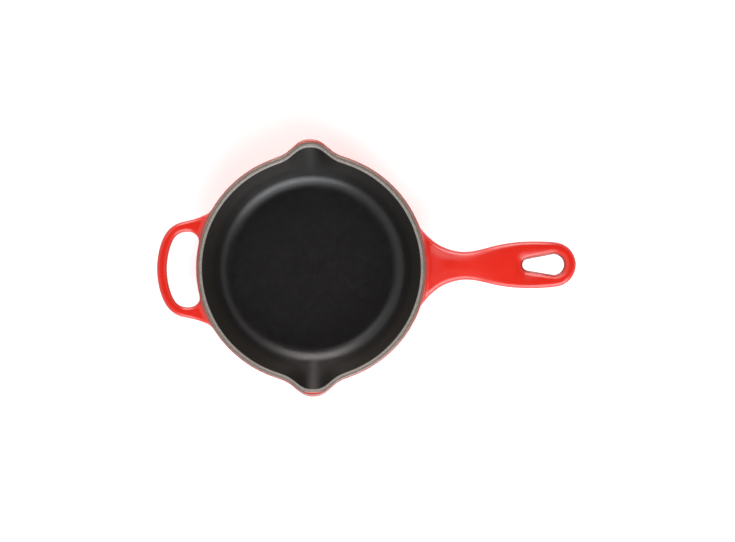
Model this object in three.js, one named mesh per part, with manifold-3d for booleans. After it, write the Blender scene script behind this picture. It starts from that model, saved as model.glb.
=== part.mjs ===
// Small enamelled cast iron skillet with two pouring spouts, a long handle with a
// hanging hole and a looped helper handle.
//
// Millimetres, +Z up. The origin is the centre of the flat underside, and the long
// handle runs along +X. The iron is one casting. It is held here as its bowl and its
// two handles, each with the fused enamel coat that covers it.

import * as THREE from 'three';
import { mergeVertices } from 'three/addons/utils/BufferGeometryUtils.js';
import Module from 'manifold-3d';

const wasm = await Module();
wasm.setup();

// ---------------------------------------------------------------- driving dimensions

// Enamel
const COAT = 0.5; // thickness of every enamel coat
const JOIN = 0.02; // clearance between a coat and its iron, and between two coats

// Bowl
const FLOOR_RADIUS = 59.5; // flat cooking surface
const FLOOR_HEIGHT = 5; // its height above the underside
const INNER_CORNER = 15; // radius between floor and wall
const WALL_LEAN = THREE.MathUtils.degToRad(15.5); // wall leans out from the vertical
const BASE_RADIUS = 61.6; // flat underside
const OUTER_CORNER = 15.5; // radius between underside and wall
const CORNER_STEPS = 3;
const LIP_INNER = [80.8, 40.6]; // radius and height where the inner wall ends
const LIP_CROWN = [[81.2, 41.6], [82, 42], [83.4, 42]];
const LIP_OUTER = [84.6, 41.4]; // where the outer colour starts
const LIP_BEAD = [[85, 40.3], [85, 38.6], [83.5, 36.4]];

// Pouring spouts, on the +Y and -Y sides
const SPOUT_REACH = 8.7; // how far the lip stands out
const SPOUT_ANGLE = THREE.MathUtils.degToRad(9.4); // half of a spout's width
const SPOUT_SHARPNESS = 2.5;
const SPOUT_START = 13; // height where the channel begins
const SPOUT_DIP = 1.2; // how far the lip drops at a spout
const SPOUT_FLARE = 1.4; // how much wider the lip is at a spout
const FLARE_ZONE = [82, 85]; // the radii it widens between
const RIM_HEIGHT = 42;

// Round resolution. The segments crowd towards the spouts.
const ROUND_SEGMENTS = 60;
const ROUND_CROWDING = 0.25;

// Long handle: distance along X, half width, height of the middle, half thickness
const LONG_STATIONS = [
  [60, 37.5, 26.5, 9.5],
  [70, 38, 28.2, 9],
  [77, 33.6, 29.4, 8.4],
  [82, 26.9, 30.9, 7.6],
  [87, 21.3, 32.5, 6.8],
  [95, 15.2, 35.4, 5.8],
  [104, 11.5, 37.8, 5],
  [114, 10.15, 39.9, 4.6],
  [124, 11.5, 41.8, 4.5],
  [134, 14, 43.5, 4.5],
  [146, 16.1, 45.1, 4.4],
  [158, 17, 46.3, 4.35],
  [168, 16.95, 47.1, 4.3],
  [177.8, 16.2, 47.6, 4.2],
];
const TIP_CENTRE = 177.8; // centre of the round end
const TIP_RADIUS = 16.2;
const TIP_STEPS = 6;
const TIP_TURN = THREE.MathUtils.degToRad(82); // the last few degrees are a flat end
const TIP_RISE = 0.4; // how far the round end still climbs
const LONG_RINGS = 15;
const EDGE_ROUND = 3.4; // rounding of the handle's long edges

// Hanging hole: two circles joined by tangents
const HOLE_NARROW = { x: 159.2, radius: 4.4 };
const HOLE_WIDE = { x: 177.8, radius: 7.7 };
const HOLE_STEPS = 6;

// Helper handle, from its root in the wall to the middle of its outer bar:
// X, Y, height of the middle, half width, half height
const HELPER_STATIONS = [
  [-66, 27, 31.3, 21, 6.6],
  [-71.5, 28.4, 31.7, 18.5, 6.5],
  [-76.5, 29.9, 32.3, 13.6, 6.3],
  [-81.2, 31.2, 33, 8.6, 6],
  [-86.5, 32, 33.8, 5, 5.5],
  [-92.3, 31.8, 34.8, 3.7, 5],
  [-97.9, 30.4, 35.7, 3.4, 4.7],
  [-102.4, 27.4, 36.3, 3.3, 4.6],
  [-106, 22.1, 36.8, 3.35, 4.5],
  [-109.4, 11.6, 37, 3.4, 4.5],
  [-110.6, 0, 37, 3.4, 4.5],
];
const HELPER_RINGS = 26;
const HELPER_ROUND = 3;

const SECTION_STEPS = 2; // steps in each rounded corner of a handle's section

// ---------------------------------------------------------------- materials

function finish(color, roughness, metalness) {
  return new THREE.MeshStandardMaterial({ color, roughness, metalness });
}

const CAST_IRON = finish(0x3b3b3d, 0.75, 0.6);
const RED_ENAMEL = finish(0xdc2a1e, 0.18, 0);
const BLACK_ENAMEL = finish(0x1f1d1d, 0.5, 0);
const GROUND_COAT = finish(0x7a6f68, 0.45, 0);

// ---------------------------------------------------------------- solids and meshes

// A closed three.js geometry as a solid that can be joined and cut.
function solid(geometry) {
  const bare = geometry.clone();
  bare.deleteAttribute('normal');
  bare.deleteAttribute('uv');
  const merged = mergeVertices(bare, 1e-4);
  const corners = merged.index.array;
  const kept = [];
  for (let i = 0; i < corners.length; i += 3) {
    const [a, b, c] = [corners[i], corners[i + 1], corners[i + 2]];
    if (a !== b && b !== c && c !== a) kept.push(a, b, c);
  }
  return new wasm.Manifold(new wasm.Mesh({
    numProp: 3,
    vertProperties: new Float32Array(merged.attributes.position.array),
    triVerts: new Uint32Array(kept),
  }));
}

function piece(name, body, material) {
  const mesh = body.getMesh();
  const geometry = new THREE.BufferGeometry();
  geometry.setAttribute('position', new THREE.BufferAttribute(mesh.vertProperties, 3));
  geometry.setIndex(new THREE.BufferAttribute(mesh.triVerts, 1));
  geometry.computeVertexNormals();
  const result = new THREE.Mesh(geometry, material);
  result.name = name;
  return result;
}

// ---------------------------------------------------------------- bowl

// Points of an arc about a centre, both of its ends included.
function arc(centre, radius, from, to) {
  const points = [];
  for (let i = 0; i <= CORNER_STEPS; i += 1) {
    const angle = from + (to - from) * (i / CORNER_STEPS);
    points.push([centre[0] + radius * Math.cos(angle), centre[1] + radius * Math.sin(angle)]);
  }
  return points;
}

// The finished outline as radius and height, from the middle of the floor out over
// the lip and back to the middle of the underside. The iron is on its right.
const DOWN = -Math.PI / 2;
const INNER_CENTRE = [FLOOR_RADIUS, FLOOR_HEIGHT + INNER_CORNER];
const OUTER_CENTRE = [BASE_RADIUS, OUTER_CORNER];
const OUTLINE = [
  [0, FLOOR_HEIGHT],
  ...arc(INNER_CENTRE, INNER_CORNER, DOWN, -WALL_LEAN),
  LIP_INNER,
  ...LIP_CROWN,
  LIP_OUTER,
  ...LIP_BEAD,
  ...arc(OUTER_CENTRE, OUTER_CORNER, -WALL_LEAN, DOWN),
  [0, 0],
];
const LIP_START = OUTLINE.indexOf(LIP_INNER);
const LIP_END = OUTLINE.indexOf(LIP_OUTER);
const BASE_EDGE = OUTLINE.length - 2;
const BASE_MIDDLE = OUTLINE.length - 1;

// Unit vector from a stretch of the outline into the iron.
function intoIron(start, end) {
  const length = Math.hypot(end[0] - start[0], end[1] - start[1]);
  return [(end[1] - start[1]) / length, (start[0] - end[0]) / length];
}

// The outline moved into the iron by a distance, with mitred corners. A point on the
// axis has its neighbour's mirror image on the other side.
function inset(distance) {
  const mirror = ([radius, height]) => [-radius, height];
  return OUTLINE.map((point, i) => {
    const before = intoIron(OUTLINE[i - 1] ?? mirror(OUTLINE[i + 1]), point);
    const after = intoIron(point, OUTLINE[i + 1] ?? mirror(OUTLINE[i - 1]));
    const share = distance / (1 + before[0] * after[0] + before[1] * after[1]);
    return point.map((value, k) => value + share * (before[k] + after[k]));
  });
}

// How far a spout is open at an angle about the axis: 1 in its middle, 0 away from it.
function spoutShare(angle) {
  const away = Math.abs(Math.abs(angle) - Math.PI / 2);
  return Math.exp(-((away / SPOUT_ANGLE) ** SPOUT_SHARPNESS));
}

// Splits each four-sided patch of a turned surface along the same diagonal, whichever
// way its profile runs, so that two surfaces side by side keep their facets parallel.
function splitAlike(geometry, points) {
  const index = [];
  for (let segment = 0; segment < ROUND_SEGMENTS; segment += 1) {
    for (let i = 0; i < points.length - 1; i += 1) {
      const a = segment * points.length + i;
      const b = a + points.length;
      const step = points[i + 1].clone().sub(points[i]);
      const rising = Math.abs(step.y) > JOIN ? step.y > 0 : step.x > 0;
      if (rising) index.push(a, b, a + 1, b + 1, a + 1, b);
      else index.push(a, b, b + 1, a, b + 1, a + 1);
    }
  }
  geometry.setIndex(index);
}

// A profile of radius and height turned about +Z, then pushed out at the two spouts.
function turned(profile) {
  const points = profile.map(([radius, height]) => new THREE.Vector2(radius, height)).reverse();
  const geometry = new THREE.LatheGeometry(points, ROUND_SEGMENTS);
  splitAlike(geometry, points);
  geometry.rotateX(Math.PI / 2);
  const position = geometry.attributes.position;
  for (let i = 0; i < position.count; i += 1) {
    const radius = Math.hypot(position.getX(i), position.getY(i));
    const even = Math.atan2(position.getY(i), position.getX(i));
    const angle = even + ROUND_CROWDING * Math.sin(2 * even);
    const height = position.getZ(i);
    const climb = THREE.MathUtils.clamp(
      (height - SPOUT_START) / (RIM_HEIGHT - SPOUT_START), 0, 1);
    const inWall = THREE.MathUtils.smoothstep(radius, FLOOR_RADIUS - 20, FLOOR_RADIUS);
    const open = spoutShare(angle) * climb * inWall;
    const flare = THREE.MathUtils.mapLinear(radius, ...FLARE_ZONE, 0, SPOUT_FLARE);
    const reach = radius
      + (SPOUT_REACH + THREE.MathUtils.clamp(flare, 0, SPOUT_FLARE)) * open;
    position.setXYZ(i, reach * Math.cos(angle), reach * Math.sin(angle),
      height - SPOUT_DIP * open * climb);
  }
  return solid(geometry);
}

// The point a short distance from one point towards another.
function stepTowards(point, target, distance) {
  const share = distance / Math.hypot(target[0] - point[0], target[1] - point[1]);
  return point.map((value, i) => value + (target[i] - value) * share);
}

// A stretch of the outline as a closed coat. An end that meets another coat stops
// just short of it, and an end on the axis closes there.
function coat(first, last) {
  const lines = [OUTLINE, inset(COAT - JOIN)].map((line) => {
    const stretch = line.slice(first, last + 1);
    if (first > 0) stretch[0] = stepTowards(stretch[0], stretch[1], JOIN);
    if (last < BASE_MIDDLE) {
      const end = stretch.pop();
      stretch.push(stepTowards(end, stretch.at(-1), JOIN));
    }
    return stretch;
  });
  const [skin, back] = lines;
  if (first === 0) return turned([...skin, ...back.reverse()]);
  const round = [...back.reverse(), ...skin];
  return turned(last === BASE_MIDDLE ? round : [...round, round[0]]);
}

// The bowl's outer outline, moved in by a distance and filled up to the lip, which is
// what a handle is cut back to.
function filledBowl(distance) {
  const outer = inset(distance).slice(OUTLINE.indexOf(LIP_CROWN.at(-1)));
  return turned([[0, outer[0][1]], ...outer]);
}

// ---------------------------------------------------------------- handles

// A rounded rectangle across a handle, in the plane of its side vector and +Z.
function section(centre, side, halfWidth, halfHeight, round) {
  const roundX = Math.min(round, halfWidth);
  const roundZ = Math.min(round, halfHeight);
  const points = [];
  for (let corner = 0; corner < 4; corner += 1) {
    const signX = corner === 0 || corner === 3 ? 1 : -1;
    const signZ = corner < 2 ? 1 : -1;
    for (let step = 0; step <= SECTION_STEPS; step += 1) {
      const angle = (corner + step / SECTION_STEPS) * (Math.PI / 2);
      const across = signX * (halfWidth - roundX) + roundX * Math.cos(angle);
      const up = signZ * (halfHeight - roundZ) + roundZ * Math.sin(angle);
      points.push(new THREE.Vector3(
        centre.x + side.x * across, centre.y + side.y * across, centre.z + up));
    }
  }
  return points;
}

// A closed loft through rings of equal count, with flat ends.
function loft(rings) {
  const count = rings[0].length;
  const index = [];
  for (let ring = 0; ring < rings.length - 1; ring += 1) {
    for (let i = 0; i < count; i += 1) {
      const a = ring * count + i;
      const b = ring * count + ((i + 1) % count);
      index.push(a, b, a + count, b, b + count, a + count);
    }
  }
  const end = (rings.length - 1) * count;
  for (let i = 1; i < count - 1; i += 1) {
    index.push(0, i + 1, i, end, end + i, end + i + 1);
  }
  const geometry = new THREE.BufferGeometry().setFromPoints(rings.flat());
  geometry.setIndex(index);
  return solid(geometry);
}

function curve(values) {
  return new THREE.CatmullRomCurve3(
    values.map((value) => new THREE.Vector3(...value)), false, 'catmullrom', 0.5);
}

// The long handle, with every surface moved in by a distance.
function longHandle(distance) {
  const plan = curve(LONG_STATIONS.map(([x, halfWidth]) => [x, halfWidth, 0]));
  const rise = curve(LONG_STATIONS.map(([x, , middle, half]) => [x, middle, half]));
  const side = new THREE.Vector2(0, 1);
  const rings = [];
  for (let i = 0; i < LONG_RINGS; i += 1) {
    const share = i / LONG_RINGS;
    const { x, y: halfWidth } = plan.getPoint(share);
    const { y: middle, z: half } = rise.getPoint(share);
    rings.push(section(new THREE.Vector3(x, 0, middle), side,
      halfWidth - distance, half - distance, EDGE_ROUND - distance));
  }
  const [, , tipMiddle, tipHalf] = LONG_STATIONS.at(-1);
  const radius = TIP_RADIUS - distance;
  for (let i = 0; i < TIP_STEPS; i += 1) {
    const turn = (i / (TIP_STEPS - 1)) * TIP_TURN;
    const past = Math.sin(turn);
    const edge = Math.max(0, 1 - (radius * (1 - past)) / EDGE_ROUND);
    const half = tipHalf - distance - (EDGE_ROUND - distance) * (1 - Math.sqrt(1 - edge ** 2));
    const centre = new THREE.Vector3(TIP_CENTRE + radius * past, 0, tipMiddle + TIP_RISE * past);
    rings.push(section(centre, side, radius * Math.cos(turn), half, EDGE_ROUND - distance));
  }
  return loft(rings);
}

// The hanging hole as an upright cutter, with its wall moved out by a distance.
function hangingHole(distance) {
  const narrow = HOLE_NARROW.radius + distance;
  const wide = HOLE_WIDE.radius + distance;
  const lean = Math.asin((wide - narrow) / (HOLE_WIDE.x - HOLE_NARROW.x));
  const outline = new THREE.Shape();
  outline.absarc(HOLE_WIDE.x, 0, wide, -Math.PI / 2 - lean, Math.PI / 2 + lean, false);
  outline.absarc(HOLE_NARROW.x, 0, narrow, Math.PI / 2 + lean, 3 * Math.PI / 2 - lean, false);
  outline.closePath();
  return solid(new THREE.ExtrudeGeometry(outline, {
    depth: 2 * RIM_HEIGHT,
    bevelEnabled: false,
    curveSegments: HOLE_STEPS,
  }));
}

// The helper handle, with every surface moved in by a distance.
function helperHandle(distance) {
  const far = HELPER_STATIONS.slice(0, -1).reverse()
    .map(([x, y, ...rest]) => [x, -y, ...rest]);
  const stations = [...HELPER_STATIONS, ...far];
  const path = curve(stations.map(([x, y, middle]) => [x, y, middle]));
  const size = curve(stations.map(([, , , halfWidth, halfHeight]) => [halfWidth, halfHeight, 0]));
  const rings = [];
  for (let i = 0; i <= HELPER_RINGS; i += 1) {
    const share = i / HELPER_RINGS;
    const { x: halfWidth, y: halfHeight } = size.getPoint(share);
    const along = path.getTangent(share);
    const side = new THREE.Vector2(-along.y, along.x).normalize();
    rings.push(section(path.getPoint(share), side,
      halfWidth - distance, halfHeight - distance, HELPER_ROUND - distance));
  }
  return loft(rings);
}

// ---------------------------------------------------------------- assembly

const longIron = longHandle(COAT).subtract(hangingHole(COAT));
const longRoom = longHandle(COAT - JOIN).subtract(hangingHole(COAT - JOIN));
const longSkin = longHandle(0).subtract(hangingHole(0));
const helperIron = helperHandle(COAT);
const helperRoom = helperHandle(COAT - JOIN);
const helperSkin = helperHandle(0);
const ironBowl = filledBowl(COAT - JOIN);
const coatedBowl = filledBowl(-JOIN);
const outsideCoat = coat(LIP_END, BASE_EDGE).subtract(longRoom).subtract(helperRoom);

const group = new THREE.Group();
group.add(
  piece('bowl_casting', turned(inset(COAT)), CAST_IRON),
  piece('long_handle_casting', longIron.subtract(ironBowl), CAST_IRON),
  piece('helper_handle_casting', helperIron.subtract(ironBowl), CAST_IRON),
  piece('interior_enamel', coat(0, LIP_START), BLACK_ENAMEL),
  piece('rim_enamel', coat(LIP_START, LIP_END), GROUND_COAT),
  piece('bowl_exterior_enamel', outsideCoat, RED_ENAMEL),
  piece('underside_enamel', coat(BASE_EDGE, BASE_MIDDLE), RED_ENAMEL),
  piece('long_handle_enamel', longSkin.subtract(longRoom).subtract(coatedBowl), RED_ENAMEL),
  piece('helper_handle_enamel', helperSkin.subtract(helperRoom).subtract(coatedBowl), RED_ENAMEL),
);

export default group;
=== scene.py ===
import itertools
import math

import bmesh
import bpy
import numpy as np
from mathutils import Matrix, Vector


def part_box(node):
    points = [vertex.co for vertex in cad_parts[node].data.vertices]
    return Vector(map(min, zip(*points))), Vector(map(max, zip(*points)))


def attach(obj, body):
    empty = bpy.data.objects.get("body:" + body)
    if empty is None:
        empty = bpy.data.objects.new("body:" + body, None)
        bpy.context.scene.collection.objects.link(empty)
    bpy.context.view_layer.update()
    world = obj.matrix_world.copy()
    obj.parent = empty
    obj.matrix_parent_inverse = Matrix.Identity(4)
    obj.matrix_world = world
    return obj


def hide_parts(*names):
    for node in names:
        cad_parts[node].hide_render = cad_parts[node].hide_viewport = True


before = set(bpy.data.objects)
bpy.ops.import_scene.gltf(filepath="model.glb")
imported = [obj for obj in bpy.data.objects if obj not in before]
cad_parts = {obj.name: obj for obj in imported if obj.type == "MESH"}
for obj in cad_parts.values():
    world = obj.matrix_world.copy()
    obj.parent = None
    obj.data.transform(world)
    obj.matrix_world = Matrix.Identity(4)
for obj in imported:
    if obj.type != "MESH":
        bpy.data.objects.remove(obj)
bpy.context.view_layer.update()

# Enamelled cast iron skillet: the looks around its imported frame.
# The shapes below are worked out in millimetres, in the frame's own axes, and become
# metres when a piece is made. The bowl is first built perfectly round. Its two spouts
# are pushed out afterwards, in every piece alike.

MM = 0.001


# ------------------------------------------------------------------ driving dimensions

def cad_reach(node, corner, axis):
    """One side of a CAD node's box, in millimetres."""
    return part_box(node)[corner][axis] / MM


LOW, HIGH = 0, 1
X, Y, Z = 0, 1, 2

RIM_HEIGHT = cad_reach("rim_enamel", HIGH, Z)
SWELL = 0.25  # how much fuller than the CAD the coats stand at the outlines
RIM_RADIUS = cad_reach("bowl_exterior_enamel", HIGH, X) + SWELL
SPOUT_RADIUS = cad_reach("bowl_exterior_enamel", HIGH, Y) + SWELL
HANDLE_END = cad_reach("long_handle_enamel", HIGH, X)

COAT = 0.5
FLOOR_RADIUS = 59.1
FLOOR_HEIGHT = 5.0
INNER_CORNER = 15.0
BASE_RADIUS = 61.6
OUTER_CORNER = 15.5
LEAN = math.radians(15.5)

# The lip's section: a small round inside, a short flat top and a bead outside.
BEAD_RADIUS = 2.25
BEAD_CENTRE = (RIM_RADIUS - BEAD_RADIUS, RIM_HEIGHT - BEAD_RADIUS)
BEAD_BLEND = 1.2
LIP_ROUND = 1.6
OPENING_SHIFT = (-0.15, -0.4)
OPENING_ZONE = (66, 78, 82.5, 84.8)  # where along the radius it is shifted
LIP_SUNK = 0.08  # how far the ground coat lies under the coats that end on it
RED_EDGE_ANGLE = math.radians(46)  # where the red starts on the bead
RED_EDGE_RISE = 0.66  # how much higher it starts at the spouts
RED_ROOT_RISE = 0.5  # and beside the handles
ROOT_ANGLE = math.radians(27)

# Spouts
SPOUT_ANGLE = math.radians(9.5)
SPOUT_SHARPNESS = 2.5
SPOUT_START = 12.5
SPOUT_DIP = 1.2
SPOUT_RAMP = 1.1
SPOUT_FLARE = 1.4  # how much wider the lip is in the middle of a spout
FLARE_START = BEAD_CENTRE[0] - 1.2
FLARE_WIDTH = RIM_RADIUS - FLARE_START
WALL_BLEND = 8.0  # how far inside the flat floor's edge the push outwards begins
STREAK_WIDTH = 3.0  # half width of the painted reflection streak down the spout at -Y
STREAK_HEIGHT = (8.0, 11.0)  # between these heights it fades in

# Long handle: along X, half width, height of the middle, half thickness
LONG_STATIONS = [
    (60, 37.5, 26.5, 9.5),
    (70, 38.0, 28.2, 9.0),
    (77, 33.6, 29.4, 8.4),
    (82, 26.9, 30.9, 7.6),
    (87, 21.3, 32.5, 6.8),
    (95, 15.2, 35.4, 5.8),
    (104, 11.5, 37.8, 5.0),
    (114, 10.15, 39.9, 4.6),
    (124, 11.5, 41.8, 4.5),
    (134, 14.0, 43.5, 4.5),
    (146, 16.1, 45.1, 4.4),
    (158, 17.0, 46.3, 4.35),
    (168, 16.95, 47.1, 4.3),
    (180, 16.03, 47.7, 4.2),
]
LONG_END_SLOPE = (-0.146, 0.055, -0.02)  # how its last row changes per millimetre
TIP_JOIN = 180.0  # where the sides pass into the round end
TIP_CENTRE = 177.64
TIP_RADIUS = 16.2
TIP_RISE = 0.4
TOP_EDGE = 3.4
BOTTOM_EDGE = [(75, 12.0), (100, 3.8)]  # along X
# How far the top falls towards its sides, along X
TOP_CROWN = [(60, 2.2), (95, 2.2), (114, 1.2), (134, 0.3), (177.8, 0.25)]

# Hanging hole, with the shallow dish round it
HOLE_NARROW = (159.2, 4.4)
HOLE_WIDE = (177.8, 7.7)
HOLE_EDGE = 0.8
HOLE_UNDER_EDGE = 1.5
DISH_WIDTH = [(150, 12.0), (156, 11.6), (163, 9.8), (170, 7.8), (177, 6.2), (190, 5.4)]  # along X
DISH_SLOPE = 0.24  # its depth at the hole, as a share of its width
DISH_LAND = 1.5  # how far from the hole its bottom is level
BEVEL_WIDTH = 3.1
BEVEL_SLOPE = 0.3
BEVEL_BLEND = 0.5

# Helper handle: X, Y, height of the middle, half width, half height
HELPER_STATIONS = [
    (-66, 27.0, 31.3, 21.0, 6.6),
    (-71.5, 28.4, 31.7, 18.5, 6.5),
    (-76.5, 29.9, 32.3, 13.6, 6.3),
    (-81.2, 31.2, 33.0, 8.6, 6.0),
    (-86.5, 32.0, 33.8, 5.0, 5.5),
    (-92.3, 31.8, 34.8, 3.7, 5.0),
    (-97.9, 30.4, 35.7, 3.4, 4.7),
    (-102.4, 27.4, 36.3, 3.3, 4.6),
    (-106, 22.1, 36.8, 3.35, 4.5),
    (-109.4, 11.6, 37.0, 3.4, 4.5),
    (-110.6, 0.0, 37.0, 3.4, 4.5),
]
HELPER_EDGE = 2.9
HELPER_ROWS = 161  # how many short steps its middle line is divided into

# The fillets between the wall and the two handles
ROOT_FILLET = 2.6
HELPER_FILLET = 4.0

# Where the red coat thins at the lip, where the handles' edges and the hanging hole are darkened
# with painted shade, and where its surface is cut
SIDE_START = 104.0  # the handles' edges start to darken at this radius, partly the coat's own darkening at its edges and partly painted shade
SIDE_FADE = 11.0
HOLE_FADE = 0.5  # how fast the painted shade at the hole's edge ends downwards
BASE_SKIN = 0.01  # faces lower than this belong to the flat base
BASE_CUT = 0.05  # height where the outside hands over to the flat base
CUT_RADIUS = 90.0  # the cuts leave the handles beyond this radius alone
LID_REACH = 1.0  # how far below the bead's centre the filled opening is cleared

# How finely the pieces are meshed
NET_STEP = 1.03
NET_ROUNDS = 7
IRON_STEP = 1.5
IRON_ROUNDS = 4
IRON_CLEARANCE = 0.1
RIM_SEGMENTS = 660
BASE_SEGMENTS = 360


# ------------------------------------------------------------------ curves and fields

def spline(knots, values, end_slope=None):
    """A cubic spline through values at rising knots, as a function of the knots' axis.
    Its ends are straight, unless end_slope gives the slope at the last knot."""
    t = np.asarray(knots, float)
    v = np.asarray(values, float).reshape(len(t), -1)
    gap = np.diff(t)
    chord = np.diff(v, axis=0) / gap[:, None]
    system = np.eye(len(t))
    right = np.zeros_like(v)
    for i in range(1, len(t) - 1):
        system[i, i - 1:i + 2] = gap[i - 1], 2 * (gap[i - 1] + gap[i]), gap[i]
        right[i] = 6 * (chord[i] - chord[i - 1])
    if end_slope is not None:
        system[-1, -2:] = gap[-1], 2 * gap[-1]
        right[-1] = 6 * (np.asarray(end_slope) - chord[-1])
    bend = np.linalg.solve(system, right)

    def at(x):
        k = np.clip(np.searchsorted(t, x) - 1, 0, len(t) - 2)
        h = gap[k]
        a = ((t[k + 1] - x) / h)[:, None]
        b = ((x - t[k]) / h)[:, None]
        h = h[:, None]
        curved = ((a ** 3 - a) * bend[k] + (b ** 3 - b) * bend[k + 1]) * h * h / 6
        return a * v[k] + b * v[k + 1] + curved

    return at


def round_join(a, b, radius):
    """The union of two fields, with a round fillet between them."""
    u = np.maximum(radius - a, 0)
    v = np.maximum(radius - b, 0)
    return np.maximum(radius, np.minimum(a, b)) - np.hypot(u, v)


def round_edge(a, b, radius):
    """The overlap of two fields, with a rounded edge between them."""
    return -round_join(-a, -b, radius)


def turned_field(r, z, corner_centre, corner_radius):
    """A solid turned about Z: flat below, a round corner, then a leaning wall."""
    across = r - corner_centre[0]
    up = z - corner_centre[1]
    corner = np.hypot(across, up) - corner_radius
    wall = across * math.cos(LEAN) - up * math.sin(LEAN) - corner_radius
    below = across * math.sin(LEAN) + up * math.cos(LEAN) < 0
    return np.where((across > 0) & below, corner, np.maximum(wall, -up - corner_radius))


def bowl_field(x, y, z):
    """The bowl filled up to its lip, with the bead round it."""
    r = np.hypot(x, y)
    body = turned_field(r, z, (BASE_RADIUS, OUTER_CORNER), OUTER_CORNER)
    body = np.maximum(body, z - BEAD_CENTRE[1])
    bead = np.hypot(r - BEAD_CENTRE[0], z - BEAD_CENTRE[1]) - BEAD_RADIUS
    return round_join(body, bead, BEAD_BLEND)


def cavity_field(x, y, z):
    """The space inside the bowl."""
    centre = (FLOOR_RADIUS, FLOOR_HEIGHT + INNER_CORNER)
    return turned_field(np.hypot(x, y), z, centre, INNER_CORNER)


_stations = np.array(LONG_STATIONS, float)
long_shape = spline(_stations[:, 0], _stations[:, 1:], end_slope=LONG_END_SLOPE)


def hole_distance(x, y):
    """How far a point is outside the hanging hole's outline, seen from above."""
    (x0, r0), (x1, r1) = HOLE_NARROW, HOLE_WIDE
    length = x1 - x0
    slant = (r0 - r1) / length
    flat = math.sqrt(1 - slant * slant)
    side, along = np.abs(y), x - x0
    place = along * flat - side * slant
    straight = side * flat + along * slant - r0
    narrow = np.hypot(side, along) - r0
    wide = np.hypot(side, along - length) - r1
    return np.where(place < 0, narrow, np.where(place > flat * length, wide, straight))


def hollow_depth(x, gap):
    """How far the top is hollowed at a distance from the hanging hole."""
    dish_width = np.interp(x, *np.transpose(DISH_WIDTH))
    past_land = gap - DISH_LAND
    out = DISH_LAND + (past_land + np.hypot(past_land, BEVEL_BLEND)) / 2
    dish = DISH_SLOPE * dish_width * np.clip(1 - out / dish_width, 0, 1) ** 2
    within = BEVEL_WIDTH - out
    return dish + BEVEL_SLOPE * (within + np.hypot(within, BEVEL_BLEND)) / 2


def long_handle_field(x, y, z):
    """The long handle, with the dish and the hanging hole in it."""
    inside = np.minimum(x, TIP_JOIN)
    width, middle, half = long_shape(inside).T
    nudge = 0.05
    slope = (width - long_shape(inside - nudge)[:, 0]) / nudge
    width = width + SWELL
    past = np.maximum(x - TIP_JOIN, 0)
    middle = middle + TIP_RISE * past / TIP_RADIUS
    along_side = (np.abs(y) - width) / np.sqrt(1 + slope ** 2)
    round_end = np.hypot(x - TIP_CENTRE, y) - TIP_RADIUS - SWELL
    plan = np.where(x > TIP_JOIN, round_end, along_side)
    gap = hole_distance(x, y) + SWELL
    crown = np.interp(x, *np.transpose(TOP_CROWN)) * np.clip(y / width, -1, 1) ** 2
    top = z - (middle + half - hollow_depth(x, gap) - crown)
    bottom = (middle - half) - z
    above = round_edge(round_edge(plan, top, TOP_EDGE), -gap, HOLE_EDGE)
    under = np.interp(x, *np.transpose(BOTTOM_EDGE))
    below = round_edge(round_edge(plan, bottom, under), -gap, HOLE_UNDER_EDGE)
    return np.maximum(above, below)


def helper_line():
    """The helper handle's middle line and sizes, as closely spaced rows."""
    near = np.array(HELPER_STATIONS, float)
    far = near[-2::-1] * (1, -1, 1, 1, 1)
    rows = np.vstack([near, far])
    steps = np.linalg.norm(np.diff(rows[:, :2], axis=0), axis=1)
    knots = np.concatenate([[0], np.cumsum(steps)])
    return spline(knots, rows)(np.linspace(0, knots[-1], HELPER_ROWS))


HELPER_LINE = helper_line()


def helper_nearest(x, y):
    """How far a point is outside the helper handle's outline, seen from above, and the
    row of the middle line it is nearest to."""
    start, end = HELPER_LINE[:-1], HELPER_LINE[1:]
    along = end[:, :2] - start[:, :2]
    offset = np.stack([x, y], 1)[:, None, :] - start[None, :, :2]
    share = np.clip((offset * along).sum(2) / (along ** 2).sum(1), 0, 1)
    away = np.linalg.norm(offset - share[..., None] * along, axis=2)
    nearest = away.argmin(1)
    pick = np.arange(len(x))
    t = share[pick, nearest][:, None]
    row = start[nearest] * (1 - t) + end[nearest] * t
    return away[pick, nearest] - row[:, 3] - SWELL, row


def helper_handle_field(x, y, z):
    """The helper handle, a rounded bar along its middle line."""
    plan, row = helper_nearest(x, y)
    height = np.abs(z - row[:, 2]) - row[:, 4]
    return round_edge(plan, height, HELPER_EDGE)


def outside_field(points):
    """The whole skillet as one filled solid, without its spouts."""
    x, y, z = points.T
    value = bowl_field(x, y, z)
    for chosen, field, fillet in (
        (x > LONG_STATIONS[0][0], long_handle_field, ROOT_FILLET),
        (x < HELPER_STATIONS[0][0], helper_handle_field, HELPER_FILLET),
    ):
        part = field(x[chosen], y[chosen], z[chosen])
        value[chosen] = round_join(value[chosen], part, fillet)
    return value


def iron_field(points):
    """The iron under the enamel."""
    x, y, z = points.T
    under = COAT + IRON_CLEARANCE
    return np.maximum(outside_field(points) + under, under - cavity_field(x, y, z))


def spout_opening(x, y):
    """1 in the middle of a spout, 0 away from both."""
    away = np.abs(np.abs(np.arctan2(y, x)) - math.pi / 2)
    return np.exp(-((away / SPOUT_ANGLE) ** SPOUT_SHARPNESS))


def push_out_spouts(points):
    """Moves the wall and lip of a round bowl out and a little down at the two spouts."""
    x, y, z = points.T
    r = np.hypot(x, y)
    climb = np.clip((z - SPOUT_START) / (BEAD_CENTRE[1] - SPOUT_START), 0, 1.2)
    wall = np.clip((r - FLOOR_RADIUS) / WALL_BLEND + 1, 0, 1)
    opening = spout_opening(x, y) * wall
    reach = (SPOUT_RADIUS - SPOUT_FLARE - RIM_RADIUS) * climb ** SPOUT_RAMP
    reach = opening * (reach + SPOUT_FLARE * np.clip((r - FLARE_START) / FLARE_WIDTH, 0, 1))
    scale = 1 + reach / np.maximum(r, 1)
    return np.stack([x * scale, y * scale, z - SPOUT_DIP * opening * climb ** 2], 1)


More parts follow.
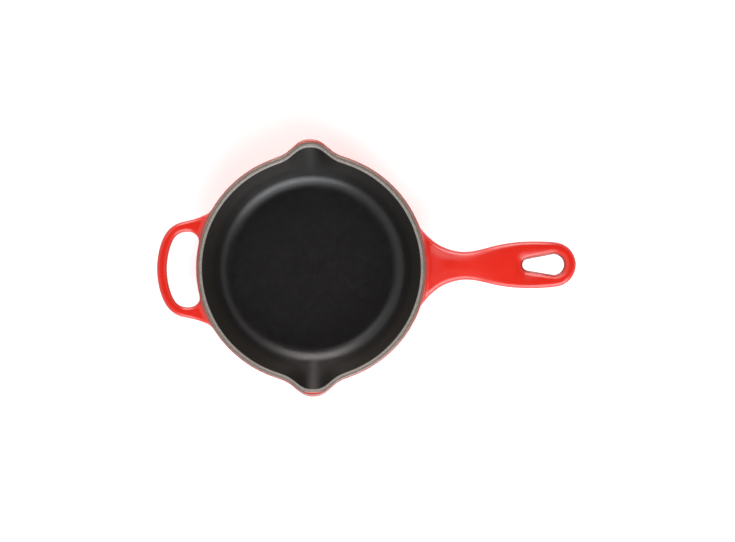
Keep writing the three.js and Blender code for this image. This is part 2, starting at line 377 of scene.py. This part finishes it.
# ------------------------------------------------------------------ meshes from fields

def sample(field, low, high, step):
    """Field values on a grid: exact near the surface, coarse away from it."""
    block = 4
    counts = np.ceil((high - low) / (step * block)).astype(int)
    middles = [low[i] + (np.arange(counts[i]) * block + (block - 1) / 2) * step for i in range(3)]
    coarse_points = np.stack(np.meshgrid(*middles, indexing="ij"), -1).reshape(-1, 3)
    values = field(coarse_points).reshape(counts)
    for axis in range(3):
        values = np.repeat(values, block, axis)
    near = np.argwhere(np.abs(values) < block * step * 1.3)
    values[tuple(near.T)] = field(low + near * step)
    return values


def surface_net(values, low, step):
    """Quads round every sign change of a grid of values, facing out."""
    inside = values < 0
    parts = [
        inside[tuple(slice(o, o + n - 1) for o, n in zip(corner, inside.shape))]
        for corner in itertools.product((0, 1), repeat=3)
    ]
    cells = np.logical_or.reduce(parts) & ~np.logical_and.reduce(parts)
    number = np.full(cells.shape, -1)
    number[cells] = np.arange(cells.sum())
    vertices = low + (np.argwhere(cells) + 0.5) * step
    faces = []
    for axis in range(3):
        u, v = np.eye(3, dtype=int)[[(axis + 1) % 3, (axis + 2) % 3]]
        first = [slice(1, -1)] * 3
        second = [slice(1, -1)] * 3
        first[axis], second[axis] = slice(0, -1), slice(1, None)
        a, b = inside[tuple(first)], inside[tuple(second)]
        at = np.argwhere(a != b)
        leaving = a[tuple(at.T)]
        at = at + u + v
        quad = np.stack([number[tuple((at - s).T)] for s in (u + v, v, 0 * u, u)], 1)
        faces.append(np.where(leaving[:, None], quad, quad[:, ::-1]))
    return vertices, np.vstack(faces)


def settle(vertices, faces, field, rounds):
    """Evens out a mesh along its surface and puts every vertex exactly on it."""
    ends = np.vstack([faces[:, [i, (i + 1) % 4]] for i in range(4)])
    ends = np.unique(np.sort(ends, 1), axis=0)
    links = np.bincount(ends.ravel(), minlength=len(vertices))[:, None]
    probes = np.array([(1, 1, 1), (1, -1, -1), (-1, 1, -1), (-1, -1, 1)], float)
    reach = 0.02
    for turn in range(rounds):
        readings = np.stack([field(vertices + reach * p) for p in probes], 1)
        gradient = readings @ probes / (4 * reach)
        length = np.linalg.norm(gradient, axis=1, keepdims=True)
        normal = gradient / length
        vertices = vertices - normal * (readings.mean(1)[:, None] / length)
        if turn == rounds - 1:
            break
        total = np.zeros_like(vertices)
        for a, b in ((0, 1), (1, 0)):
            for axis in range(3):
                total[:, axis] += np.bincount(
                    ends[:, a], vertices[ends[:, b], axis], minlength=len(vertices))
        pull = total / links - vertices
        pull -= normal * (pull * normal).sum(1, keepdims=True)
        vertices = vertices + 0.6 * pull
    return vertices


def field_mesh(field, step, rounds):
    """The surface of a field, in a box with room round the skillet before its spouts."""
    low = np.array((HELPER_STATIONS[-1][0] - 6, -RIM_RADIUS - 3, -2), float)
    high = np.array((HANDLE_END + 3, RIM_RADIUS + 3, LONG_STATIONS[-1][2] + 8), float)
    vertices, faces = surface_net(sample(field, low, high, step), low, step)
    return settle(vertices, faces, field, rounds), faces


# ------------------------------------------------------------------ pieces

def make_mesh(name, vertices, faces, **measures):
    """A mesh object in metres. Each measure becomes a value on every vertex."""
    mesh = bpy.data.meshes.new(name)
    mesh.from_pydata((vertices * MM).tolist(), [], [[int(i) for i in f] for f in faces])
    mesh.validate()
    for key, values in measures.items():
        attribute = mesh.attributes.new(key, "FLOAT", "POINT")
        attribute.data.foreach_set("value", np.asarray(values, np.float32))
    mesh.shade_smooth()
    piece = bpy.data.objects.new(name, mesh)
    bpy.context.scene.collection.objects.link(piece)
    return piece


def thicken(piece, depth):
    """Makes a closed coat of a surface by giving it depth on its inner side."""
    shell = piece.modifiers.new("coat", "SOLIDIFY")
    shell.thickness = depth * MM
    shell.offset = -1
    shell.use_rim = True


def finish_piece(piece, material, slot, *nodes):
    """Gives a piece its material and a parent, and hides the CAD nodes it replaces. The slot is
    not used.
    """
    piece.data.materials.clear()
    piece.data.materials.append(material)
    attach(piece, "root")
    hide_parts(*nodes)
    return piece


def turned_surface(profile, segments):
    """Vertices and quads of a profile turned about Z, a profile starting on the axis
    closing there. The profile has the material on its right."""
    profile = np.asarray(profile, float)
    on_axis = profile[0, 0] < 1e-9
    rings = profile[1:] if on_axis else profile
    angles = np.arange(segments) * 2 * math.pi / segments
    vertices = np.stack([
        np.outer(rings[:, 0], np.cos(angles)),
        np.outer(rings[:, 0], np.sin(angles)),
        np.outer(rings[:, 1], np.ones(segments)),
    ], -1).reshape(-1, 3)
    i = np.arange(segments)
    after = (i + 1) % segments
    faces = []
    for ring in range(len(rings) - 1):
        here, there = ring * segments, (ring + 1) * segments
        faces += np.stack([here + i, there + i, there + after, here + after], 1).tolist()
    if on_axis:
        middle = len(vertices)
        vertices = np.vstack([vertices, [0, 0, profile[0, 1]]])
        faces += np.stack([np.full(segments, middle), i, after], 1).tolist()
    return vertices, faces


def arc_points(centre, radius, start, stop, count):
    """Points along an arc, both ends included."""
    angles = np.linspace(start, stop, count)
    return np.stack([centre[0] + radius * np.cos(angles), centre[1] + radius * np.sin(angles)], 1)


def line_points(start, stop, count):
    """Points between two ends, both left out."""
    share = np.linspace(0, 1, count + 2)[1:-1, None]
    return np.asarray(start) * (1 - share) + np.asarray(stop) * share


def lip_inner_centre():
    """The centre of the small round between the inner wall and the top of the lip."""
    height = RIM_HEIGHT - LIP_ROUND
    wall = FLOOR_RADIUS + (INNER_CORNER + LIP_ROUND) / math.cos(LEAN)
    rise = height - FLOOR_HEIGHT - INNER_CORNER
    return wall + rise * math.tan(LEAN), height


def interior_profile():
    """The inside, from the middle of the floor to the lip."""
    centre = (FLOOR_RADIUS, FLOOR_HEIGHT + INNER_CORNER)
    corner = arc_points(centre, INNER_CORNER, -math.pi / 2, -LEAN, 18)
    lip = arc_points(lip_inner_centre(), LIP_ROUND, math.pi - LEAN, math.pi - LEAN - 0.35, 4)
    floor = line_points((0, FLOOR_HEIGHT), corner[0], 26)
    wall = line_points(corner[-1], lip[0], 22)
    return np.vstack([[(0, FLOOR_HEIGHT)], floor, corner, wall, lip])


def lip_profile(sunk):
    """The lip's ground coat, a little under the coats that end on it."""
    inner = lip_inner_centre()
    start = inner[0] - LIP_ROUND * math.cos(LEAN), inner[1] + LIP_ROUND * math.sin(LEAN)
    below = (start[0] - 2 * math.sin(LEAN), start[1] - 2 * math.cos(LEAN))
    inside = arc_points(inner, LIP_ROUND, math.pi - LEAN, math.pi / 2, 9)
    outside = arc_points(BEAD_CENTRE, BEAD_RADIUS, math.pi / 2, 0.1, 14)
    skin = np.vstack([[below], inside, outside])
    tangent = np.gradient(skin, axis=0)
    tangent /= np.linalg.norm(tangent, axis=1, keepdims=True)
    return skin + sunk * np.stack([tangent[:, 1], -tangent[:, 0]], 1)


def off_centre(points):
    """Moves the opening a little towards -X and -Y, so the lip is wider at +Y."""
    shift = np.interp(np.hypot(points[:, 0], points[:, 1]), OPENING_ZONE, (0, 1, 1, 0))
    return points + shift[:, None] * np.array([*OPENING_SHIFT, 0])


def spout_measures(points):
    """The height inside the bowl, where painted shade darkens a spout's flanks, and how near
    a point is to the painted reflection streak down the middle of the spout at -Y."""
    x, y, z = points.T
    climbed = np.clip((z - STREAK_HEIGHT[0]) / (STREAK_HEIGHT[1] - STREAK_HEIGHT[0]), 0, 1)
    middle = np.exp(-((x / STREAK_WIDTH) ** 2))
    flank_shade = spout_opening(x, y) * (1 - middle) * climbed
    return {"height": z, "flank_shade": flank_shade, "reflection_streak": middle * climbed * (y < 0)}


def make_interior(material):
    vertices, faces = turned_surface(interior_profile(), RIM_SEGMENTS)
    piece = make_mesh("black_enamel_inside", push_out_spouts(off_centre(vertices)), faces,
                      **spout_measures(vertices))
    thicken(piece, COAT)
    return finish_piece(piece, material, "black_enamel", "interior_enamel")


def make_lip(material):
    vertices, faces = turned_surface(lip_profile(LIP_SUNK), RIM_SEGMENTS)
    piece = make_mesh("ground_coat_lip", push_out_spouts(off_centre(vertices)), faces,
                      across=np.hypot(vertices[:, 0], vertices[:, 1]) - RIM_RADIUS)
    thicken(piece, COAT)
    return finish_piece(piece, material, "rim_ground_coat", "rim_enamel")


def red_edge_rise(x, y):
    """How much higher than elsewhere the red coat reaches up the lip."""
    beside_handle = np.exp(-((np.arctan2(y, np.abs(x)) / ROOT_ANGLE) ** 4))
    return RED_EDGE_RISE * spout_opening(x, y) + RED_ROOT_RISE * beside_handle


def cut_level(mesh, height, direction):
    """Removes what lies above (1) or below (-1) a height, near the bowl."""
    near = [f for f in mesh.faces if f.calc_center_median().xy.length < CUT_RADIUS]
    # A fixed order, because it decides how the cut numbers its new vertices
    edges = dict.fromkeys(e for f in near for e in f.edges)
    corners = dict.fromkeys(v for f in near for v in f.verts)
    bmesh.ops.bisect_plane(
        mesh, geom=[*corners, *edges, *near], dist=1e-4,
        plane_co=(0, 0, height), plane_no=(0, 0, direction), clear_outer=True)


def shift_by_rise(mesh, sign):
    """Moves a mesh up or down by the rise of the red coat's edge."""
    places = np.array([v.co[:] for v in mesh.verts])
    rise = sign * red_edge_rise(places[:, 0], places[:, 1])
    for vertex, step in zip(mesh.verts, rise.tolist()):
        vertex.co.z += step


def keep_below_lip(vertices, faces):
    """Cuts the outside's surface off cleanly at the lip, where the red coat ends."""
    middle = vertices[faces].mean(1)
    inner = np.hypot(middle[:, 0], middle[:, 1]) < BEAD_CENTRE[0]
    inner &= middle[:, 2] > BEAD_CENTRE[1] - LID_REACH
    base = middle[:, 2] < BASE_SKIN
    faces = faces[~(inner | base)]
    mesh = bmesh.new()
    corners = [mesh.verts.new(v) for v in vertices]
    for face in faces:
        mesh.faces.new([corners[i] for i in face])
    cut_level(mesh, BASE_CUT, -1)
    shift_by_rise(mesh, -1)
    cut_level(mesh, BEAD_CENTRE[1] + BEAD_RADIUS * math.sin(RED_EDGE_ANGLE), 1)
    shift_by_rise(mesh, 1)
    loose = [v for v in mesh.verts if not v.link_faces]
    bmesh.ops.delete(mesh, geom=loose, context="VERTS")
    mesh.verts.index_update()
    kept = np.array([v.co[:] for v in mesh.verts])
    kept_faces = [[v.index for v in f.verts] for f in mesh.faces]
    mesh.free()
    return kept, kept_faces


def long_outline_distance(x, y):
    """How far a point is inside the long handle's outline, seen from above."""
    inside = np.minimum(x, TIP_JOIN)
    width = long_shape(inside)[:, 0] + SWELL
    round_end = TIP_RADIUS + SWELL - np.hypot(x - TIP_CENTRE, y)
    return np.where(x > TIP_JOIN, round_end, width - np.abs(y))


def edge_measures(points):
    """Distances from where the red coat is thin at the lip, and from the handles' outlines and
    the hanging hole, where shade is painted, in millimetres.
    """
    x, y, z = points.T
    lift = red_edge_rise(x, y)
    start = (BEAD_CENTRE[0] + BEAD_RADIUS * math.cos(RED_EDGE_ANGLE),
             BEAD_CENTRE[1] + BEAD_RADIUS * math.sin(RED_EDGE_ANGLE))
    rim = np.hypot(np.hypot(x, y) - start[0], z - start[1] - lift)
    far = 20.0
    middle = long_shape(np.clip(x, LONG_STATIONS[0][0], TIP_JOIN))[:, 1]
    below = np.maximum(middle - z, 0)
    hole = np.hypot(hole_distance(x, y), HOLE_FADE * below)
    hole = np.where(x > HOLE_NARROW[0] - 2 * far, hole, far)
    side = np.full(len(x), far)
    side[x > RIM_RADIUS] = long_outline_distance(x[x > RIM_RADIUS], y[x > RIM_RADIUS])
    side[x < -RIM_RADIUS] = -helper_nearest(x[x < -RIM_RADIUS], y[x < -RIM_RADIUS])[0]
    side = np.maximum(side, (SIDE_START - np.hypot(x, y)) / SIDE_FADE)
    return {"rim_gap": rim, "hole_gap": hole, "side_gap": side}


def make_outside(material):
    vertices, faces = field_mesh(outside_field, NET_STEP, NET_ROUNDS)
    vertices, faces = keep_below_lip(vertices, faces)
    piece = make_mesh("red_enamel_outside", push_out_spouts(vertices), faces,
                      **edge_measures(vertices))
    thicken(piece, COAT)
    return finish_piece(piece, material, "red_enamel", "bowl_exterior_enamel",
                        "long_handle_enamel", "helper_handle_enamel")


def make_base(material):
    edge = BASE_RADIUS + math.sqrt(2 * OUTER_CORNER * BASE_CUT - BASE_CUT ** 2)
    ring = [(BASE_RADIUS, 0), ((BASE_RADIUS + edge) / 2, BASE_CUT / 4), (edge, BASE_CUT)]
    profile = np.vstack([[(0, 0)], line_points((0, 0), ring[0], 24), ring])
    vertices, faces = turned_surface(profile, BASE_SEGMENTS)
    piece = make_mesh("red_enamel_base", vertices, [f[::-1] for f in faces],
                      **edge_measures(vertices))
    thicken(piece, COAT)
    return finish_piece(piece, material, "red_enamel", "underside_enamel")


def make_iron(material):
    vertices, faces = field_mesh(iron_field, IRON_STEP, IRON_ROUNDS)
    piece = make_mesh("iron_body", push_out_spouts(vertices), faces)
    return finish_piece(piece, material, "iron", "bowl_casting", "long_handle_casting",
                        "helper_handle_casting")


# ------------------------------------------------------------------ materials

def srgb(*levels):
    """A colour given as 0 to 255 levels, as linear light."""
    shares = [v / 255 for v in levels]
    return (*[s / 12.92 if s <= 0.04045 else ((s + 0.055) / 1.055) ** 2.4 for s in shares], 1)


class Finish:
    """A procedural material, with short calls for the nodes it is made of."""

    def __init__(self, name, roughness, specular=0.5):
        self.material = bpy.data.materials.new(name)
        self.material.use_nodes = True
        self.tree = self.material.node_tree
        self.shader = self.tree.nodes["Principled BSDF"]
        self.shader.inputs["Roughness"].default_value = roughness
        self.shader.inputs["Specular IOR Level"].default_value = specular
        self.place = self.tree.nodes.new("ShaderNodeTexCoord").outputs["Object"]

    def link(self, source, target):
        self.tree.links.new(source, target)

    def noise(self, scale, detail=3.0, roughness=0.55):
        node = self.tree.nodes.new("ShaderNodeTexNoise")
        node.inputs["Scale"].default_value = scale
        node.inputs["Detail"].default_value = detail
        node.inputs["Roughness"].default_value = roughness
        self.link(self.place, node.inputs["Vector"])
        return node.outputs["Fac"]

    def measure(self, name):
        node = self.tree.nodes.new("ShaderNodeAttribute")
        node.attribute_name = name
        return node.outputs["Fac"]

    def span(self, value, low, high, to_low=0.0, to_high=1.0, smooth=True):
        node = self.tree.nodes.new("ShaderNodeMapRange")
        node.interpolation_type = "SMOOTHSTEP" if smooth else "LINEAR"
        node.inputs["From Min"].default_value = low
        node.inputs["From Max"].default_value = high
        node.inputs["To Min"].default_value = to_low
        node.inputs["To Max"].default_value = to_high
        self.link(value, node.inputs["Value"])
        return node.outputs["Result"]

    def mix(self, share, first, second):
        node = self.tree.nodes.new("ShaderNodeMix")
        node.data_type = "RGBA"
        for key, colour in (("A", first), ("B", second)):
            socket = next(s for s in node.inputs if s.name == key and s.type == "RGBA")
            if isinstance(colour, tuple):
                socket.default_value = colour
            else:
                self.link(colour, socket)
        self.link(share, node.inputs["Factor"])
        return next(s for s in node.outputs if s.type == "RGBA")

    def math(self, operation, first, second):
        node = self.tree.nodes.new("ShaderNodeMath")
        node.operation = operation
        for socket, value in zip(node.inputs, (first, second)):
            if isinstance(value, (int, float)):
                socket.default_value = value
            else:
                self.link(value, socket)
        return node.outputs[0]

    def colour(self, source):
        self.link(source, self.shader.inputs["Base Color"])

    def rough(self, source):
        self.link(source, self.shader.inputs["Roughness"])

    def bump(self, *layers):
        """Each layer is a height from 0 to 1 and the depth that 1 stands for, in mm."""
        normal = None
        for height, depth in layers:
            node = self.tree.nodes.new("ShaderNodeBump")
            node.inputs["Strength"].default_value = 1.0
            node.inputs["Distance"].default_value = depth * MM
            self.link(height, node.inputs["Height"])
            if normal is not None:
                self.link(normal, node.inputs["Normal"])
            normal = node.outputs["Normal"]
        self.link(normal, self.shader.inputs["Normal"])


def red_enamel():
    f = Finish("red_enamel_gloss", 0.16)
    pool = f.span(f.noise(22, 2), 0.35, 0.68)
    fleck = f.span(f.noise(420, 2), 0.60, 0.74)
    base = f.mix(pool, srgb(189, 35, 24), srgb(179, 30, 20))
    base = f.mix(f.math("MULTIPLY", fleck, 0.25), base, srgb(145, 22, 15))
    ragged = f.span(f.noise(180, 3), 0.3, 0.7, -0.25, 0.25, False)
    rim = f.span(f.math("ADD", f.measure("rim_gap"), ragged), 0.2, 2.7, 0.75, 0)
    # Darker along the handles' outlines: partly the enamel's own darkening at its edges, partly
    # painted shade at the silhouettes.
    side = f.span(f.measure("side_gap"), 0.1, 1.0, 0.45, 0)
    brown = f.mix(f.math("MAXIMUM", rim, side), base, srgb(112, 62, 52))
    # Painted shade: dark red at the hanging hole's edge, fading down its inside.
    hole = f.span(f.measure("hole_gap"), 0.5, 1.5, 0.85, 0)
    f.colour(f.mix(hole, brown, srgb(112, 26, 20)))
    f.rough(f.span(f.noise(60, 3), 0.3, 0.7, 0.13, 0.22))
    f.bump((f.noise(150, 2), 0.03), (f.noise(1400, 2), 0.004))
    return f.material


def black_enamel():
    f = Finish("black_enamel_satin", 0.42, 0.4)
    cloud = f.span(f.noise(90, 4), 0.3, 0.7)
    floor = f.mix(cloud, srgb(17, 15, 15), srgb(20, 18, 18))
    # Painted light: the walls are painted lighter than the floor, for the light they catch.
    painted_wall_light = f.span(f.measure("height"), FLOOR_HEIGHT + 4, FLOOR_HEIGHT + 14)
    wall = f.mix(painted_wall_light, floor, srgb(32, 29, 26))
    # Painted shade: the flanks of both spouts are darkened.
    wall = f.mix(f.math("MULTIPLY", f.measure("flank_shade"), 0.9), wall, srgb(13, 12, 11))
    # Painted reflection: a lighter streak down the middle of the spout at -Y; the same strip is
    # also made smoother below.
    f.colour(f.mix(f.measure("reflection_streak"), wall, srgb(54, 50, 49)))
    grain = f.span(f.noise(300, 3), 0.3, 0.7, -0.03, 0.03)
    rough = f.span(f.measure("height"), FLOOR_HEIGHT, FLOOR_HEIGHT + 5, 0.31, 0.38)
    rough = f.math("ADD", rough, f.math("MULTIPLY", f.measure("reflection_streak"), 0.12))
    f.rough(f.math("ADD", rough, grain))
    f.bump((f.noise(700, 3), 0.015), (f.noise(2600, 2), 0.008))
    return f.material


def ground_coat():
    f = Finish("rim_ground_coat_satin", 0.4)
    across = f.measure("across")
    ragged = f.math("ADD", across, f.span(f.noise(260, 3), 0.3, 0.7, -0.15, 0.15, False))
    outer = f.span(ragged, -2.95, -2.55)
    grain = f.span(f.noise(900, 3), 0.35, 0.65)
    land = f.mix(grain, srgb(126, 121, 115), srgb(107, 102, 97))
    brown = f.mix(grain, srgb(100, 87, 80), srgb(80, 68, 62))
    # The brown is lighter towards the bead's outside.
    lighter_brown = f.mix(grain, srgb(124, 107, 99), srgb(104, 88, 81))
    brown = f.mix(f.span(ragged, -1.9, -1.2), brown, lighter_brown)
    f.colour(f.mix(outer, land, brown))
    f.bump((f.noise(1100, 3), 0.015),)
    return f.material


def cast_iron():
    f = Finish("sand_cast_iron", 0.7)
    f.shader.inputs["Metallic"].default_value = 0.7
    f.colour(f.mix(f.noise(200, 4), srgb(52, 52, 54), srgb(78, 77, 78)))
    f.bump((f.noise(900, 4), 0.08),)
    return f.material


# ------------------------------------------------------------------ stage

# The floor's half side and how far it lies under the skillet, in metres
FLOOR_HALF = 1.15
FLOOR_DROP = 0.0002


def make_floor():
    mesh = bpy.data.meshes.new("floor")
    side = FLOOR_HALF
    corners = [(-side, -side, 0), (side, -side, 0), (side, side, 0), (-side, side, 0)]
    mesh.from_pydata(corners, [], [(0, 1, 2, 3)])
    floor = bpy.data.objects.new("floor", mesh)
    floor.location.z = -FLOOR_DROP
    bpy.context.scene.collection.objects.link(floor)
    f = Finish("pale_floor", 0.9, 0.0)
    f.colour(f.mix(f.noise(3, 2), (0.855, 0.895, 0.895, 1), (0.875, 0.915, 0.915, 1)))
    mesh.materials.append(f.material)


OPENING_PLACE = (20, 12)  # azimuth and angle from overhead, in degrees
TENT_START = 52  # degrees from the opening's middle where the tent has its full level
TENT_OPENING = 22  # and where the opening has its own
TENT_LEVEL = 1.05
OVERHEAD_LEVEL = 0.06
SOFTBOX_DISTANCE = 1.3
SOFTBOX_HEIGHT = 0.95
COOL = (0.955, 1.0, 1.045)
WARM = (1.09, 1.0, 0.97)
# Name, azimuth, elevation, width in metres, brightness and tint
SOFTBOXES = [
    ("south_box", -77, 24, 1.6, 5.2, COOL),
    ("north_box", 94, 30, 0.74, 6.5, WARM),
]
# Azimuth, angle from overhead, how far it reaches and how bright it is
SKY_GLOWS = [
    (-70, 43, 27, 2.4),
    (128, 31, 14, 2.2),
    (-143, 20, 8, 0.3),
]


def softbox(name, azimuth, elevation, width, radiance, tint):
    """A soft area light aimed at the bowl. Azimuth 0 is +X, 90 is +Y."""
    a, e = math.radians(azimuth), math.radians(elevation)
    data = bpy.data.lights.new(name, "AREA")
    data.shape = "RECTANGLE"
    data.size = width
    data.size_y = SOFTBOX_HEIGHT
    data.energy = radiance * math.pi * width * SOFTBOX_HEIGHT
    data.color = tint
    light = bpy.data.objects.new(name, data)
    place = Vector((math.cos(a) * math.cos(e), math.sin(a) * math.cos(e), math.sin(e)))
    light.location = place * SOFTBOX_DISTANCE
    light.rotation_euler = place.to_track_quat("Z", "Y").to_euler()
    bpy.context.scene.collection.objects.link(light)


def sky_direction(azimuth, from_zenith):
    """A unit vector towards a place in the sky."""
    a, z = math.radians(azimuth), math.radians(from_zenith)
    return math.cos(a) * math.sin(z), math.sin(a) * math.sin(z), math.cos(z)


def sky_patch(nodes, links, direction, place, reaches, levels):
    """A level that changes softly from outside to inside a round patch of the sky."""
    near = nodes.new("ShaderNodeVectorMath")
    near.operation = "DOT_PRODUCT"
    near.inputs[1].default_value = sky_direction(*place)
    links.new(direction, near.inputs[0])
    patch = nodes.new("ShaderNodeMapRange")
    patch.interpolation_type = "SMOOTHSTEP"
    patch.inputs["From Min"].default_value = math.cos(math.radians(reaches[0]))
    patch.inputs["From Max"].default_value = math.cos(math.radians(reaches[1]))
    patch.inputs["To Min"].default_value = levels[0]
    patch.inputs["To Max"].default_value = levels[1]
    links.new(near.outputs["Value"], patch.inputs["Value"])
    return patch.outputs["Result"]


def light_stage():
    """A white tent with a dark opening overhead, and a softbox to the south and north."""
    world = bpy.data.worlds.new("studio")
    world.use_nodes = True
    nodes, links = world.node_tree.nodes, world.node_tree.links
    direction = nodes.new("ShaderNodeTexCoord").outputs["Generated"]
    level = sky_patch(nodes, links, direction, OPENING_PLACE,
                      (TENT_START, TENT_OPENING), (TENT_LEVEL, OVERHEAD_LEVEL))
    for azimuth, from_zenith, spread, strength in SKY_GLOWS:
        glow = sky_patch(nodes, links, direction, (azimuth, from_zenith),
                         (spread, spread / 3), (0, strength))
        total = nodes.new("ShaderNodeMath")
        links.new(level, total.inputs[0])
        links.new(glow, total.inputs[1])
        level = total.outputs[0]
    background = nodes["Background"]
    background.inputs["Color"].default_value = (1, 1, 1, 1)
    links.new(level, background.inputs["Strength"])
    bpy.context.scene.world = world
    for box in SOFTBOXES:
        softbox(*box)


VIEW_WIDTH = 0.5413  # metres across the picture, at the height of the lip
VIEW_CENTRE = (0.0412, -0.0029)
VIEW_TURN = math.radians(-0.78)


def place_camera():
    """Straight down on the middle of the skillet's length, through a long lens."""
    data = bpy.data.cameras.new("camera")
    data.lens = 100
    data.sensor_width = 36
    data.clip_end = 20
    camera = bpy.data.objects.new("camera", data)
    height = RIM_HEIGHT * MM + VIEW_WIDTH * data.lens / data.sensor_width
    camera.location = (*VIEW_CENTRE, height)
    camera.rotation_euler = (0, 0, VIEW_TURN)
    bpy.context.scene.collection.objects.link(camera)
    bpy.context.scene.camera = camera


# ------------------------------------------------------------------ assembly

red = red_enamel()
make_outside(red)
make_base(red)
make_interior(black_enamel())
make_lip(ground_coat())
make_iron(cast_iron())
make_floor()
light_stage()
place_camera()
bpy.context.scene.view_settings.view_transform = "Standard"
